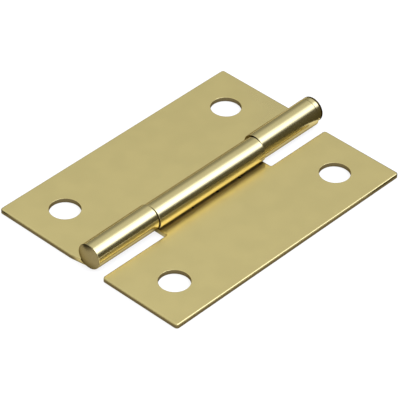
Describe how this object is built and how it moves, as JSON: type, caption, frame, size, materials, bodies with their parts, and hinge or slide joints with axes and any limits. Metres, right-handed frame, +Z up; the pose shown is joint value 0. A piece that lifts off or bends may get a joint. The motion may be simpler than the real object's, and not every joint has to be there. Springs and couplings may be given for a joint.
{
  "type": "butt hinge",
  "caption": "Brass-finished pressed-steel butt hinge with flat leaves, plain screw holes, rolled knuckles and a headed pin, lying open.",
  "frame": {"origin": "on the plane that the open leaves lie on, under the pin's axis, at the middle of the outer leaf's length", "axes": "+Y along the pin towards its proud rounded head, +X from the outer leaf towards the centre leaf, +Z up, from the leaves' backs towards the knuckles"},
  "size_m": [0.0379, 0.0518, 0.0043],
  "materials": {
    "outer_leaf_plating": "bright brass plating on rolled steel sheet, faintly satin",
    "centre_leaf_plating": "bright brass plating on rolled steel sheet, faintly satin",
    "pin_plating": "brass plating on a steel pin with upset heads"
  },
  "bodies": {
    "outer_half": {"outer_leaf": "outer_leaf_plating", "hinge_pin": "pin_plating"},
    "centre_half": {"centre_leaf": "centre_leaf_plating"}
  },
  "joints": [
    {"name": "leaf_swing", "type": "hinge", "parent": "outer_half", "child": "centre_half", "pos_m": [0, 0, 0.00217], "axis": [0, -1, 0], "range_deg": [-115, 188]}
  ]
}
